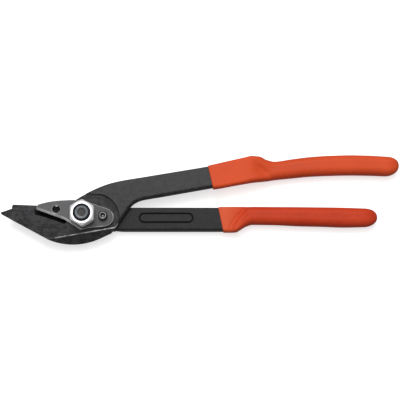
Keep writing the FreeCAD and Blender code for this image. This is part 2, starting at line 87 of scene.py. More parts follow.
# ---------------------------------------------------------------- materials
class Material:
    """A small wrapper that keeps node building short and readable."""

    def __init__(self, name):
        self.material = bpy.data.materials.new(name)
        self.material.use_nodes = True
        self.tree = self.material.node_tree
        self.shader = self.tree.nodes["Principled BSDF"]
        self.place = self.tree.nodes.new("ShaderNodeTexCoord").outputs["Object"]

    def set(self, **values):
        for socket, value in values.items():
            self.shader.inputs[socket.replace("_", " ")].default_value = value

    def link(self, source, target):
        self.tree.links.new(source, target)

    def mapped(self, scale):
        node = self.tree.nodes.new("ShaderNodeMapping")
        node.inputs["Scale"].default_value = scale
        self.link(self.place, node.inputs["Vector"])
        return node.outputs["Vector"]

    def noise(self, scale, detail=3.0, roughness=0.5, stretch=(1, 1, 1)):
        node = self.tree.nodes.new("ShaderNodeTexNoise")
        node.inputs["Scale"].default_value = scale
        node.inputs["Detail"].default_value = detail
        node.inputs["Roughness"].default_value = roughness
        self.link(self.mapped(stretch), node.inputs["Vector"])
        return node.outputs["Fac"]

    def coordinates(self):
        """The object's own coordinates as separate outputs, in metres."""
        node = self.tree.nodes.new("ShaderNodeSeparateXYZ")
        self.link(self.place, node.inputs[0])
        return node.outputs

    def along_x(self, low, high):
        """Rises from 0 to 1 between two places along X, given in millimetres."""
        node = self.tree.nodes.new("ShaderNodeMapRange")
        node.inputs["From Min"].default_value = low * MM
        node.inputs["From Max"].default_value = high * MM
        self.link(self.coordinates()["X"], node.inputs["Value"])
        return node.outputs[0]

    def ramp(self, source, stops):
        node = self.tree.nodes.new("ShaderNodeValToRGB")
        elements = node.color_ramp.elements
        while len(elements) < len(stops):
            elements.new(0.5)
        for element, (position, value) in zip(elements, stops):
            element.position = position
            colour = value if hasattr(value, "__len__") else (value, value, value)
            element.color = (*colour, 1.0)
        self.link(source, node.inputs["Fac"])
        return node.outputs["Color"]

    def mix(self, factor, first, second, mode="MIX"):
        node = self.tree.nodes.new("ShaderNodeMix")
        node.data_type = "RGBA"
        node.blend_type = mode
        for socket, value in ((0, factor), (6, first), (7, second)):
            if hasattr(value, "is_linked"):
                self.link(value, node.inputs[socket])
            elif socket == 0:
                node.inputs[0].default_value = value
            else:
                node.inputs[socket].default_value = (*value, 1.0)
        return node.outputs[2]

    def math(self, operation, first, second):
        node = self.tree.nodes.new("ShaderNodeMath")
        node.operation = operation
        for index, value in enumerate((first, second)):
            if hasattr(value, "is_linked"):
                self.link(value, node.inputs[index])
            else:
                node.inputs[index].default_value = value
        return node.outputs[0]

    def bump(self, heights):
        """Bumps stacked from (height source, depth in metres) pairs."""
        previous = None
        for source, depth in heights:
            node = self.tree.nodes.new("ShaderNodeBump")
            node.inputs["Strength"].default_value = 1.0
            node.inputs["Distance"].default_value = depth
            self.link(source, node.inputs["Height"])
            if previous:
                self.link(previous, node.inputs["Normal"])
            previous = node.outputs["Normal"]
        self.link(previous, self.shader.inputs["Normal"])


def forging_material(name, dark, light, roughness, gloss=0.35, slot=False):
    """Black finish on forged steel: fine shot-blasted grain, faint drawn streaks, soft mottling.

    slot: paints black the face below the hold-down plate, as painted shade deep in the strap slot.
    """
    m = Material(name)
    m.set(Metallic=0.0, IOR=1.5, Specular_IOR_Level=gloss)
    mottle = m.noise(230, 5, 0.68)
    streaks = m.noise(30, 4, 0.7, stretch=(1, 28, 28))
    grain = m.noise(2600, 2, 0.6)
    mixed = m.math("ADD", m.math("MULTIPLY", mottle, 0.6), m.math("MULTIPLY", streaks, 0.25))
    mixed = m.math("ADD", mixed, m.math("MULTIPLY", grain, 0.15))
    tint = (1.02, 0.97, 1.04)
    dark_tone = tuple(dark * c for c in tint)
    light_tone = tuple(light * c for c in tint)
    colour = m.ramp(mixed, [(0.45, dark_tone), (0.55, light_tone)])
    # Painted shade: the face inside the strap slot turns black.
    if slot:
        place = m.coordinates()
        across = m.math("ADD", place["Y"], m.math("MULTIPLY", place["X"], SLOT_SLOPE))
        below = m.math("LESS_THAN", across, SLOT_LINE * MM)
        right = m.math("GREATER_THAN", place["X"], SLOT_LEFT * MM)
        colour = m.mix(m.math("MULTIPLY", below, right), colour, SLOT_SHADE)
    m.link(colour, m.shader.inputs["Base Color"])
    m.link(m.ramp(mixed, [(0.3, roughness - 0.06), (0.7, roughness + 0.1)]), m.shader.inputs["Roughness"])
    m.bump([(grain, 0.00003), (mottle, 0.00008)])
    return m.material


def plate_material(name, left_tone, right_tone):
    """Hardened grey plate, lighter towards its tip."""
    m = Material(name)
    m.set(Metallic=0.15, IOR=1.5, Specular_IOR_Level=0.4)
    mottle = m.noise(260, 5, 0.66)
    grain = m.noise(2400, 2, 0.6)
    scratches = m.noise(260, 3, 0.6, stretch=(1, 14, 1))
    colour = m.mix(m.along_x(*PLATE_TONES), left_tone, right_tone)
    shade = m.math("ADD", m.math("MULTIPLY", mottle, 0.6), m.math("MULTIPLY", scratches, 0.4))
    varied = m.mix(1.0, colour, m.ramp(shade, [(0.4, 0.68), (0.6, 1.0)]), mode="MULTIPLY")
    m.link(varied, m.shader.inputs["Base Color"])
    m.link(m.ramp(shade, [(0.3, 0.4), (0.7, 0.52)]), m.shader.inputs["Roughness"])
    m.bump([(grain, 0.00002), (scratches, 0.00003)])
    return m.material


def worn_material(name, hidden, bare, low, high):
    """Edges where the black finish has worn through to steel in patches; the bright copy is also a painted
    highlight on sharp edges.
    """
    m = Material(name)
    m.set(IOR=1.5)
    patches = m.noise(150, 4, 0.65)
    grain = m.noise(2200, 2, 0.5)
    shown = m.ramp(patches, [(low, 0.0), (high, 1.0)])
    colour = m.mix(shown, (hidden, hidden, hidden), (bare, bare, bare * 1.02))
    m.link(colour, m.shader.inputs["Base Color"])
    m.link(m.math("MULTIPLY", shown, 0.35), m.shader.inputs["Metallic"])
    m.link(m.ramp(grain, [(0.3, 0.36), (0.7, 0.55)]), m.shader.inputs["Roughness"])
    m.bump([(grain, 0.00001)])
    return m.material


def vinyl_material(name, dark, light, start_tone=None):
    """Dipped vinyl: satin orange-red with a faint orange-peel skin and slight soiling.

    start_tone: the coat's unshaded colour at its start over the flat bar, if the main colours differ from it
    by painted shade.
    """
    m = Material(name)
    m.set(Metallic=0.0, IOR=1.48, Specular_IOR_Level=0.16)
    cloudy = m.noise(28, 3, 0.5)
    specks = m.noise(420, 3, 0.6)
    peel = m.noise(700, 2, 0.5)
    tone = m.math("ADD", m.math("MULTIPLY", cloudy, 0.75), m.math("MULTIPLY", specks, 0.25))
    colour = m.ramp(tone, [(0.34, dark), (0.66, light)])
    if start_tone:
        colour = m.mix(m.along_x(*COAT_TONES), start_tone, colour)
    m.link(colour, m.shader.inputs["Base Color"])
    m.link(m.ramp(tone, [(0.3, 0.5), (0.7, 0.62)]), m.shader.inputs["Roughness"])
    m.bump([(peel, 0.00004), (cloudy, 0.0004)])
    return m.material


def metal_material(name, dark, light, roughness, metallic):
    """Bare or plated steel with light turning or grinding marks."""
    m = Material(name)
    m.set(Metallic=metallic)
    marks = m.noise(400, 3, 0.6)
    stain = m.noise(140, 3, 0.5)
    m.link(m.ramp(stain, [(0.3, dark), (0.7, light)]), m.shader.inputs["Base Color"])
    m.link(m.ramp(marks, [(0.3, roughness - 0.07), (0.7, roughness + 0.1)]), m.shader.inputs["Roughness"])
    m.bump([(marks, 0.000015)])
    return m.material


forging_upper = forging_material("forging_black_upper", 0.016, 0.035, 0.46, gloss=0.25)
forging_lower = forging_material("forging_black_lower", 0.006, 0.017, 0.46, gloss=0.2)
# The lower lever's jaw face, with painted shade black inside the strap slot.
forging_slotted = forging_material("forging_black_slot_painted_shade", 0.032, 0.062, 0.5, gloss=0.08, slot=True)
milled = forging_material("forging_milled", 0.003, 0.034, 0.44, gloss=0.2)
# Near-black painted shade for the ring groove, the recess's round end and the plate's slot walls.
painted_shade_black = forging_material("painted_shade_black", 0.003, 0.006, 0.6, gloss=0.1)
worn_dark = worn_material("forging_edge_faint", 0.025, 0.16, 0.45, 0.75)
# Bright edges: wear through the finish, and a painted highlight along sharp edges.
worn_edge_and_highlight = worn_material("forging_edge_worn_and_highlight", 0.06, 0.6, 0.3, 0.58)
plate_grey = plate_material("plate_grey", (0.092, 0.092, 0.096), (0.062, 0.062, 0.064))
# Ground bevels: lighter bare steel, made brighter still as a painted reflection.
ground_and_painted_sheen = metal_material("plate_ground_bevel_and_painted_sheen", (0.3, 0.3, 0.31), (0.62, 0.62, 0.63), 0.45, 0.15)
vinyl_upper = vinyl_material("vinyl_orange", (0.6, 0.068, 0.018), (0.72, 0.088, 0.025))
# The lower grip's colours are darker than the upper's as painted shade; its start over the bar keeps the
# unshaded orange.
vinyl_lower = vinyl_material(
    "vinyl_orange_painted_shade", (0.5, 0.038, 0.01), (0.63, 0.06, 0.017), start_tone=(0.68, 0.098, 0.036)
)
zinc = metal_material("zinc_bright", (0.82, 0.82, 0.83), (0.92, 0.92, 0.93), 0.32, 0.5)
# A darker, duller copy of the zinc for the nut's chamfers and flanks, as painted shade.
zinc_flank_painted_shade = metal_material("zinc_flank_painted_shade", (0.6, 0.6, 0.61), (0.78, 0.78, 0.79), 0.42, 0.2)
steel = metal_material("steel_plain", (0.14, 0.14, 0.145), (0.24, 0.24, 0.245), 0.42, 0.6)
bolt_face = metal_material("bolt_end_face", (0.1, 0.11, 0.118), (0.17, 0.182, 0.192), 0.5, 0.2)
bolt_centre = metal_material("bolt_end_centre", (0.024, 0.023, 0.022), (0.045, 0.043, 0.041), 0.6, 0.1)
# Near-black steel for the bolt's thread and the nut's bore, as painted shade.
thread_painted_shade = metal_material("steel_painted_thread_shade", (0.012, 0.013, 0.019), (0.026, 0.028, 0.04), 0.5, 0.2)
black_oxide = metal_material("black_oxide", (0.008, 0.008, 0.009), (0.022, 0.022, 0.023), 0.5, 0.1)
# Light oxide for the worn ring at the socket's mouth and a painted glint in the socket.
oxide_wear_and_glint = metal_material("black_oxide_wear_and_glint", (0.25, 0.25, 0.255), (0.5, 0.5, 0.51), 0.45, 0.3)


# ---------------------------------------------------------------- mesh helpers
def set_materials(mesh, materials):
    """Gives a mesh its materials; its faces all go back to the first one."""
    mesh.materials.clear()
    for material in materials:
        mesh.materials.append(material)


def new_piece(name, mesh):
    piece = bpy.data.objects.new(name, mesh)
    bpy.context.collection.objects.link(piece)
    return piece


def place_in_frame(piece, node, body):
    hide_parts(node)
    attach(piece, body)


def skin(name, rings, materials, joined=False, sharp=35.0):
    """A closed skin over a stack of equal rings; a ring of one point is a pole."""
    work = bmesh.new()
    rows = [[work.verts.new(Vector(p) * MM) for p in ring] for ring in rings]
    pairs = list(zip(rows, rows[1:]))
    if joined:
        pairs.append((rows[-1], rows[0]))
    for low, high in pairs:
        count = max(len(low), len(high))
        for k in range(count):
            n = (k + 1) % count
            corners = [low[k % len(low)], low[n % len(low)], high[n % len(high)], high[k % len(high)]]
            unique = list(dict.fromkeys(corners))
            work.faces.new(unique)
    if not joined:
        for row in (rows[0], rows[-1]):
            if len(row) > 1:
                work.faces.new(row)
    bmesh.ops.recalc_face_normals(work, faces=work.faces)
    mesh = bpy.data.meshes.new(name)
    work.to_mesh(mesh)
    work.free()
    set_materials(mesh, materials)
    for face in mesh.polygons:
        face.use_smooth = True
    mesh.set_sharp_from_angle(angle=math.radians(sharp))
    return new_piece(name, mesh)


def paint(piece, material, test):
    """Gives one of a piece's materials to the faces whose centre (mm) and normal pass the test."""
    index = list(piece.data.materials).index(material)
    for face in piece.data.polygons:
        if test(face.center / MM, face.normal):
            face.material_index = index


# ---------------------------------------------------------------- forged pieces
WELD_DISTANCE = 0.002
# Angles in degrees: faces closer to flat than the first are joined, edges under the second are
# never broken, edges over the third are a facet's side, over the fourth a square corner, and
# edges over the last one are shaded sharp.
JOINED_ANGLE = 1.0
LEAST_BREAK_ANGLE = 20.0
FACET_ANGLE = 25.0
CORNER_ANGLE = 60.0
SHARP_ANGLE = 40.0


def edge_angle(edge):
    return edge.calc_face_angle(0.0) if len(edge.link_faces) == 2 else 0.0


def finished_copy(node, body, materials, breaks):
    """A finer copy of a forged or ground piece, with each group of edges broken to its own width.

    breaks: (test of an edge's middle in mm and angle in degrees, width in mm, material of the
    break, whether the width gives way to short edges beside it).
    """
    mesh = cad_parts[node].data.copy()
    mesh.name = node + "_finished"
    set_materials(mesh, materials)
    if mesh.has_custom_normals:
        mesh.attributes.remove(mesh.attributes["custom_normal"])
    work = bmesh.new()
    work.from_mesh(mesh)
    bmesh.ops.remove_doubles(work, verts=work.verts, dist=WELD_DISTANCE * MM)
    bmesh.ops.dissolve_limit(
        work, angle_limit=math.radians(JOINED_ANGLE), verts=work.verts, edges=work.edges
    )
    for test, width, material, clamped in breaks:
        chosen = []
        for edge in work.edges:
            angle = math.degrees(edge_angle(edge))
            middle = (edge.verts[0].co + edge.verts[1].co) / 2 / MM
            if angle > LEAST_BREAK_ANGLE and test(middle, angle):
                chosen.append(edge)
        bmesh.ops.bevel(
            work, geom=chosen, offset=width * MM, offset_type="OFFSET", segments=2, profile=0.5,
            affect="EDGES", clamp_overlap=clamped, loop_slide=True, material=materials.index(material),
        )
    for face in work.faces:
        face.smooth = True
    work.to_mesh(mesh)
    work.free()
    mesh.set_sharp_from_angle(angle=math.radians(SHARP_ANGLE))
    piece = new_piece(node + "_finished", mesh)
    weighted = piece.modifiers.new("flat_faces", "WEIGHTED_NORMAL")
    weighted.keep_sharp = True
    place_in_frame(piece, node, body)
    return piece


# Distances and places on the forgings and the plate, in millimetres.
NEAR = 0.1
COAT_COVER = 10.0
EDGE_BREAK = 0.3
UPPER_BORE_REACH = 7.0
LOWER_BORE_REACH = 9.0
RUNOUT_NEAR = 0.3
RUNOUT_ABOVE_MILLED = 0.7
MILLED_LEFT, MILLED_RIGHT, MILLED_RIGHT_Y, MILLED_SLOPE = -25.0, 29.0, -6.5, 1 / 9
GROOVE_LEFT, GROOVE_RIGHT, GROOVE_Y, GROOVE_REACH = 40.0, 86.0, -1.6, 5.0
GROOVE_DEPTH = 2.5
JAW_RIGHT = 20.0
PLATE_EDGE_DEPTH = 2.0
PLATE_TIP_LEFT, PLATE_TIP_TOP = 2.0, 3.0
PLATE_SLOT_RIGHT, PLATE_SLOT_TOP = -3.0, 2.0


def under_coat(middle):
    return middle.x > BAR_END - COAT_COVER


def on_runout(middle, angle):
    """Whether an edge is the top one of the milled recess's round end."""
    from_arc = abs(math.hypot(middle.x - RUNOUT_X, middle.y - RUNOUT_Y) - RUNOUT_RADIUS)
    return angle > CORNER_ANGLE and from_arc < RUNOUT_NEAR and middle.z > MILLED_FACE + RUNOUT_ABOVE_MILLED


def below_milled_face(middle, angle):
    """Whether an edge bounds the milled jaw face, below a line that rises towards the bar."""
    line = MILLED_RIGHT_Y - (MILLED_RIGHT - middle.x) * MILLED_SLOPE
    in_reach = MILLED_LEFT < middle.x < MILLED_RIGHT and middle.y < line
    return in_reach and middle.z > MILLED_FACE - NEAR and angle > FACET_ANGLE


def upper_corner(middle, angle):
    return not under_coat(middle) and angle > CORNER_ANGLE and middle.length > UPPER_BORE_REACH


def lower_corner(middle, angle):
    """Whether an edge is a corner of the lower lever, away from its bore and its ring groove."""
    by_groove = GROOVE_LEFT < middle.x < GROOVE_RIGHT and abs(middle.y - GROOVE_Y) < GROOVE_REACH
    corner = not under_coat(middle) and angle > CORNER_ANGLE and middle.length > LOWER_BORE_REACH
    return corner and not by_groove


def in_groove(centre, normal):
    in_plan = GROOVE_LEFT + 2 < centre.x < GROOVE_RIGHT - 1 and -6 < centre.y < 3
    return in_plan and LOWER_FRONT - GROOVE_DEPTH < centre.z < LOWER_FRONT - 0.05


def by_plate_tip(middle):
    return middle.x > PLATE_TIP_LEFT and middle.y < PLATE_TIP_TOP


def plate_edge(middle, angle):
    return angle > FACET_ANGLE and middle.z > PLATE_TOP - PLATE_EDGE_DEPTH and not by_plate_tip(middle)


def plate_tip_edge(middle, angle):
    return angle > CORNER_ANGLE and middle.z > PLATE_TOP - NEAR and by_plate_tip(middle)


def along_slot(centre):
    return centre.y < PLATE_SLOT_TOP and centre.x < PLATE_SLOT_RIGHT


upper_lever = finished_copy(
    "upper_lever", "upper_half", (forging_upper, worn_dark, milled, worn_edge_and_highlight, painted_shade_black),
    [
        # The top edge of the recess's round end is painted black as shade.
        (on_runout, 0.5, painted_shade_black, False),
        # The milled face's lower edge: wear and a painted highlight line.
        (below_milled_face, 0.36, worn_edge_and_highlight, False),
        (upper_corner, EDGE_BREAK, worn_dark, True),
    ],
)
paint(upper_lever, milled, lambda c, n: n.z > 0.99 and abs(c.z - MILLED_FACE) < NEAR)

lower_lever = finished_copy(
    "lower_lever", "lower_half", (forging_lower, worn_dark, painted_shade_black, forging_slotted),
    [(lower_corner, EDGE_BREAK, worn_dark, True)],
)
# The jaw face gets the copy with the strap slot's painted shade.
paint(lower_lever, forging_slotted, lambda c, n: c.x < JAW_RIGHT and n.z > 0.5)
# The ring groove is painted black as shade.
paint(lower_lever, painted_shade_black, in_groove)

plate = finished_copy(
    "hold_down_plate", "upper_half", (plate_grey, ground_and_painted_sheen, painted_shade_black, worn_edge_and_highlight),
    [
        # The plate's top edges get the ground bevel with its painted reflection.
        (plate_edge, 0.22, ground_and_painted_sheen, False),
        # The plate's tip edges: wear and a painted highlight.
        (plate_tip_edge, 0.35, worn_edge_and_highlight, False),
    ],
)
# The plate's walls along the strap slot are painted black as shade.
paint(plate, painted_shade_black, lambda c, n: abs(n.z) < 0.3 and along_slot(c))
# The slot's bevel: ground steel with a painted reflection.
paint(plate, ground_and_painted_sheen, lambda c, n: 0.3 < n.z < 0.9 and along_slot(c))


# ---------------------------------------------------------------- pivot fasteners
SEGMENTS = 144


def polar_ring(z, radius, x=0.0, y=0.0):
    """A ring at one level; radius is a number or a function of the angle."""
    points = []
    for k in range(SEGMENTS):
        angle = 2 * math.pi * k / SEGMENTS
        r = radius(angle) if callable(radius) else radius
        points.append((x + r * math.cos(angle), y + r * math.sin(angle), z))
    return points


HEX_SHARPNESS = 48.0
CHAMFER_SHARPNESS = 40.0
NUT_TURN = 90.0
BOLT_HEAD_TURN = 12.0
SOCKET_TURN = 20.0


def hexagon_radius(angle, across_flats, corner_angle):
    """Distance to a hexagon's side with slightly rounded corners."""
    total = 0.0
    for k in range(3):
        facing = math.cos(angle - math.radians(corner_angle + 30 + 60 * k))
        total += abs(facing) ** HEX_SHARPNESS
    return across_flats / 2 / total ** (1 / HEX_SHARPNESS)


def chamfered_hexagon(z, low, high, flat_radius, corner_angle):
    """Radius of a hexagon chamfered at 30 degrees at its low level, and at its high one if given."""
    drop = z - low if high is None else min(z - low, high - z)
    cone = flat_radius + drop / math.tan(math.radians(30))

    def radius(angle):
        hexagon = hexagon_radius(angle, HEX_ACROSS_FLATS, corner_angle)
        total = hexagon ** -CHAMFER_SHARPNESS + cone ** -CHAMFER_SHARPNESS
        return total ** (-1 / CHAMFER_SHARPNESS)

    return radius


CHAMFER_LEVELS = (0.0, 0.05, 0.12, 0.22, 0.35, 0.5, 0.68, 0.86, 1.04, 1.25)
BORE_RADIUS = BOLT_RADIUS + 0.05
NUT_FLAT_RADIUS = 8.1
# The mouth of the nut's bore: depth below its face, and how far it is wider than the bolt.
NUT_MOUTH = ((0.0, 0.85), (0.08, 0.7), (0.75, 0.05))


def from_axis(place, x=0.0, y=0.0):
    return math.hypot(place.x - x, place.y - y)


def pivot_nut():
    rings = [polar_ring(PLATE_TOP, BORE_RADIUS)]
    low_levels = [PLATE_TOP + d for d in CHAMFER_LEVELS]
    high_levels = [NUT_TOP - d for d in reversed(CHAMFER_LEVELS)]
    for z in low_levels + high_levels:
        rings.append(polar_ring(z, chamfered_hexagon(z, PLATE_TOP, NUT_TOP, NUT_FLAT_RADIUS, NUT_TURN)))
    for depth, wider in NUT_MOUTH:
        rings.append(polar_ring(NUT_TOP - depth, BOLT_RADIUS + wider))
    nut = skin("pivot_nut_turned", rings, (zinc, thread_painted_shade, zinc_flank_painted_shade), joined=True, sharp=18)
    # The nut's bore is painted dark as shade.
    paint(nut, thread_painted_shade, lambda c, n: from_axis(c) < BOLT_RADIUS + 0.6)
    # The nut's chamfers and flanks get the zinc's painted-shade copy.
    paint(nut, zinc_flank_painted_shade, lambda c, n: from_axis(c) > NUT_FLAT_RADIUS - 0.1)
    place_in_frame(nut, "pivot_nut", "upper_half")


THREAD_FLANK = 2.6
THREAD_BELOW_NUT_TOP = 1.2
THREAD_STEPS = 20
BOLT_CHAMFER = 1.1
BOLT_CHAMFER_SLOPE = 0.9
BOLT_FLAT_RADIUS = HEX_ACROSS_FLATS / 2 - 0.35
BOLT_FACE_RADIUS = 4.7
BOLT_CENTRE_RADIUS = 3.2
BOLT_DISH_DEPTH = 0.45
# The dished end of the bolt: depth below its end, and radius.
BOLT_DISH = (
    (0.0, BOLT_FACE_RADIUS), (0.0, 3.5), (0.06, 3.35), (0.3, 3.1), (0.42, 2.8), (BOLT_DISH_DEPTH, 1.2),
)


def thread_radius(z, crest, end_cone):
    """Radius of a rolled thread at one level, as a function of the angle."""
    def radius(angle):
        turn = (z / THREAD_PITCH - angle / (2 * math.pi)) % 1.0
        depth = THREAD_DEPTH * max(0.0, 1 - THREAD_FLANK * abs(turn - 0.5))
        return min(crest - depth, end_cone)
    return radius


def bolt_head_rings():
    """Rings of the chamfered head, from its outer face up to the washer."""
    rings = [[(0, 0, 0.0)], polar_ring(0.0, 4.0)]
    for drop in CHAMFER_LEVELS:
        rings.append(polar_ring(drop, chamfered_hexagon(drop, 0.0, None, BOLT_FLAT_RADIUS, BOLT_HEAD_TURN)))
    side = chamfered_hexagon(HEAD_HEIGHT, 0.0, None, BOLT_FLAT_RADIUS, BOLT_HEAD_TURN)
    rings.append(polar_ring(HEAD_HEIGHT - 0.15, side))
    rings.append(polar_ring(HEAD_HEIGHT, lambda a: hexagon_radius(a, HEX_ACROSS_FLATS - 0.3, BOLT_HEAD_TURN)))
    rings.append(polar_ring(HEAD_HEIGHT, BOLT_RADIUS))
    return rings


def pivot_bolt():
    rings = bolt_head_rings()
    thread_start = NUT_TOP - THREAD_BELOW_NUT_TOP
    rings.append(polar_ring(thread_start - 0.01, BOLT_RADIUS))
    for k in range(THREAD_STEPS + 1):
        z = thread_start + (BOLT_END - thread_start) * k / THREAD_STEPS
        cone = BOLT_RADIUS + min(0.0, (BOLT_END - BOLT_CHAMFER - z) * BOLT_CHAMFER_SLOPE)
        rings.append(polar_ring(z, thread_radius(z, BOLT_RADIUS, cone)))
    for drop, radius in BOLT_DISH:
        rings.append(polar_ring(BOLT_END - drop, radius))
    rings.append([(0, 0, BOLT_END - BOLT_DISH_DEPTH)])
    bolt = skin("pivot_bolt_threaded", rings, (steel, thread_painted_shade, bolt_face, bolt_centre), sharp=28)
    # The bolt's thread is painted dark as shade.
    paint(bolt, thread_painted_shade, lambda c, n: c.z > thread_start)
    paint(bolt, bolt_face, lambda c, n: c.z > BOLT_END - 0.5 and from_axis(c) < BOLT_FACE_RADIUS)
    paint(bolt, bolt_centre, lambda c, n: c.z > BOLT_END - 0.5 and from_axis(c) < BOLT_CENTRE_RADIUS)
    place_in_frame(bolt, "pivot_bolt", "upper_half")


def pivot_washer():
    break_width = 0.18
    inner, outer = BORE_RADIUS, WASHER_RADIUS
    profile = [
        (inner, HEAD_HEIGHT + break_width), (inner + break_width, HEAD_HEIGHT),
        (outer - break_width, HEAD_HEIGHT), (outer, HEAD_HEIGHT + break_width),
        (outer, WASHER_TOP - break_width), (outer - break_width, WASHER_TOP),
        (inner + break_width, WASHER_TOP), (inner, WASHER_TOP - break_width),
    ]
    rings = [polar_ring(z, radius) for radius, z in profile]
    washer = skin("pivot_washer_stamped", rings, (steel,), joined=True)
    place_in_frame(washer, "pivot_washer", "upper_half")


SCREW_HEAD_RADIUS = 3.5
SCREW_SHANK_RADIUS = 2.0
SOCKET_ACROSS_FLATS = 3.0
SOCKET_DEPTH = 2.2
KNURLS = 36
KNURL_DEPTH = 0.09


def plate_screw():
    low, high = NODES["plate_screw"]
    x = (low[0] + high[0]) / 2 / MM
    y = (low[1] + high[1]) / 2 / MM
    tip, top = low[2] / MM, high[2] / MM
    socket_floor = top - SOCKET_DEPTH

    def knurl(angle):
        return SCREW_HEAD_RADIUS - KNURL_DEPTH * (0.5 + 0.5 * math.cos(KNURLS * angle))

    def hole(angle):
        return hexagon_radius(angle, SOCKET_ACROSS_FLATS, SOCKET_TURN)

    def wear_ring_and_glint(c, n):
        """The worn ring round the socket's mouth, and the painted glint at its floor."""
        from_screw = from_axis(c, x, y)
        on_mouth = c.z > top - 0.1 and 2.1 < from_screw < 2.35
        # A painted highlight: the bright dot on the socket's floor.
        on_floor = c.z < socket_floor and from_screw < 0.6 and n.z > 0
        return on_mouth or on_floor

    shank = [
        (tip, SCREW_SHANK_RADIUS - 0.3), (tip + 0.3, SCREW_SHANK_RADIUS), (PLATE_TOP, SCREW_SHANK_RADIUS),
    ]
    head = [
        (PLATE_TOP, SCREW_HEAD_RADIUS - 0.2), (PLATE_TOP + 0.2, SCREW_HEAD_RADIUS - 0.05),
        (PLATE_TOP + 0.5, knurl), (top - 0.75, knurl), (top - 0.5, SCREW_HEAD_RADIUS - 0.1),
        (top - 0.2, SCREW_HEAD_RADIUS - 0.3), (top, SCREW_HEAD_RADIUS - 0.65),
    ]
    socket = [
        (top, 2.4), (top, 2.05), (top - 0.15, hole), (socket_floor, hole),
        (socket_floor - 0.1, 1.2), (socket_floor - 0.3, 0.6),
    ]
    rings = [[(x, y, tip)]]
    rings += [polar_ring(z, radius, x, y) for z, radius in shank + head + socket]
    rings.append([(x, y, socket_floor - 0.5)])
    screw = skin("plate_screw_socket", rings, (black_oxide, oxide_wear_and_glint), sharp=30)
    # Wear ring and painted glint on the screw's socket.
    paint(screw, oxide_wear_and_glint, wear_ring_and_glint)
    place_in_frame(screw, "plate_screw", "upper_half")


pivot_nut()
pivot_bolt()
pivot_washer()
plate_screw()


# ---------------------------------------------------------------- dipped grips
# Stations along each coat: x, top y, bottom y, front z, back z, corner radius (mm).
UPPER_STATIONS = [
    (90, 37.0, 19.3, 18.5, 8.3, 2.2),
    (104, 40.2, 21.0, 18.5, 8.3, 2.2),
    (113, 42.3, 22.7, 18.5, 8.3, 2.2),
    (123, 44.7, 24.6, 18.2, 7.6, 2.4),
    (130, 46.3, 25.9, 17.6, 6.2, 3.0),
    (135.5, 46.1, 26.7, 16.7, 4.1, 3.8),
    (141, 43.8, 27.5, 15.7, 1.9, 4.6),
    (147, 42.6, 28.6, 14.8, 0.4, 5.0),
    (160, 44.4, 30.0, 14.4, 0.0, 5.2),
    (175, 46.3, 31.5, 14.4, 0.0, 5.2),
    (191, 47.4, 32.2, 14.4, 0.0, 5.2),
    (206, 47.8, 32.5, 14.4, 0.0, 5.2),
    (220, 47.5, 32.3, 14.4, 0.0, 5.2),
    (234, 46.7, 31.8, 14.4, 0.0, 5.2),
]
UPPER_TIP = (244.4, 39.9)
UPPER_START = ((95.4, 38.7), (99.6, 20.2))

LOWER_STATIONS = [
    (98, 6.9, -12.2, 11.9, 1.7, 2.2),
    (104, 7.0, -12.3, 11.9, 1.7, 2.2),
    (112, 7.1, -12.4, 11.9, 1.7, 2.2),
    (117, 7.1, -12.2, 12.1, 1.5, 2.4),
    (121, 7.2, -10.2, 13.0, 1.0, 3.4),
    (125, 7.2, -7.9, 14.0, 0.4, 4.6),
    (130, 7.2, -6.5, 14.4, 0.0, 5.2),
    (147, 7.1, -6.7, 14.4, 0.0, 5.2),
    (167, 7.0, -7.6, 14.4, 0.0, 5.2),
    (185, 6.8, -8.0, 14.4, 0.0, 5.2),
    (201, 6.5, -8.5, 14.4, 0.0, 5.2),
    (216, 6.0, -8.2, 14.4, 0.0, 5.2),
]
LOWER_TIP = (226.6, -0.8)
LOWER_START = ((103.4, 7.0), (107.4, -12.3))

COAT = 1.1
TANG_COAT = 2.2
COAT_OVER_BAR = COAT - 0.04
COAT_CHANGE = 4.0
STRAIGHTENED_IN = 16.0
RING_STEP = 0.9
TIP_STEPS = 9
TIP_BLUNTNESS = 0.9
WOBBLE_LENGTH = 22.0
WOBBLE_DEPTH = 0.06
# The rounded lip at a coat's start: distance along the coat, and share of its thickness.
LIP = ((0.0, 0.8), (0.0, 0.55), (0.12, 0.3), (0.4, 0.1), (0.8, 0.0))


class Stations:
    """Smooth values between the stations, on cubics that never swing past them."""

    def __init__(self, rows):
        self.xs = [row[0] for row in rows]
        self.columns = list(zip(*rows))[1:]
        self.slopes = [self.column_slopes(column) for column in self.columns]

    def column_slopes(self, values):
        steps = [(b - a) / (x2 - x1) for a, b, x1, x2 in zip(values, values[1:], self.xs, self.xs[1:])]
        slopes = [steps[0]]
        for before, after in zip(steps, steps[1:]):
            same_way = before * after > 0
            slopes.append(2 * before * after / (before + after) if same_way else 0.0)
        return slopes + [steps[-1]]

    def at(self, x):
        x = min(max(x, self.xs[0]), self.xs[-1])
        k = 0
        while k < len(self.xs) - 2 and x > self.xs[k + 1]:
            k += 1
        span = self.xs[k + 1] - self.xs[k]
        t = (x - self.xs[k]) / span
        values = []
        for column, slope in zip(self.columns, self.slopes):
            value = column[k] * (1 + 2 * t) * (1 - t) ** 2 + column[k + 1] * t * t * (3 - 2 * t)
            value += span * (slope[k] * t * (1 - t) ** 2 - slope[k + 1] * t * t * (1 - t))
            values.append(value)
        return values


CORNER_POINTS = 7
FACE_POINTS = 27
SIDE_POINTS = 4


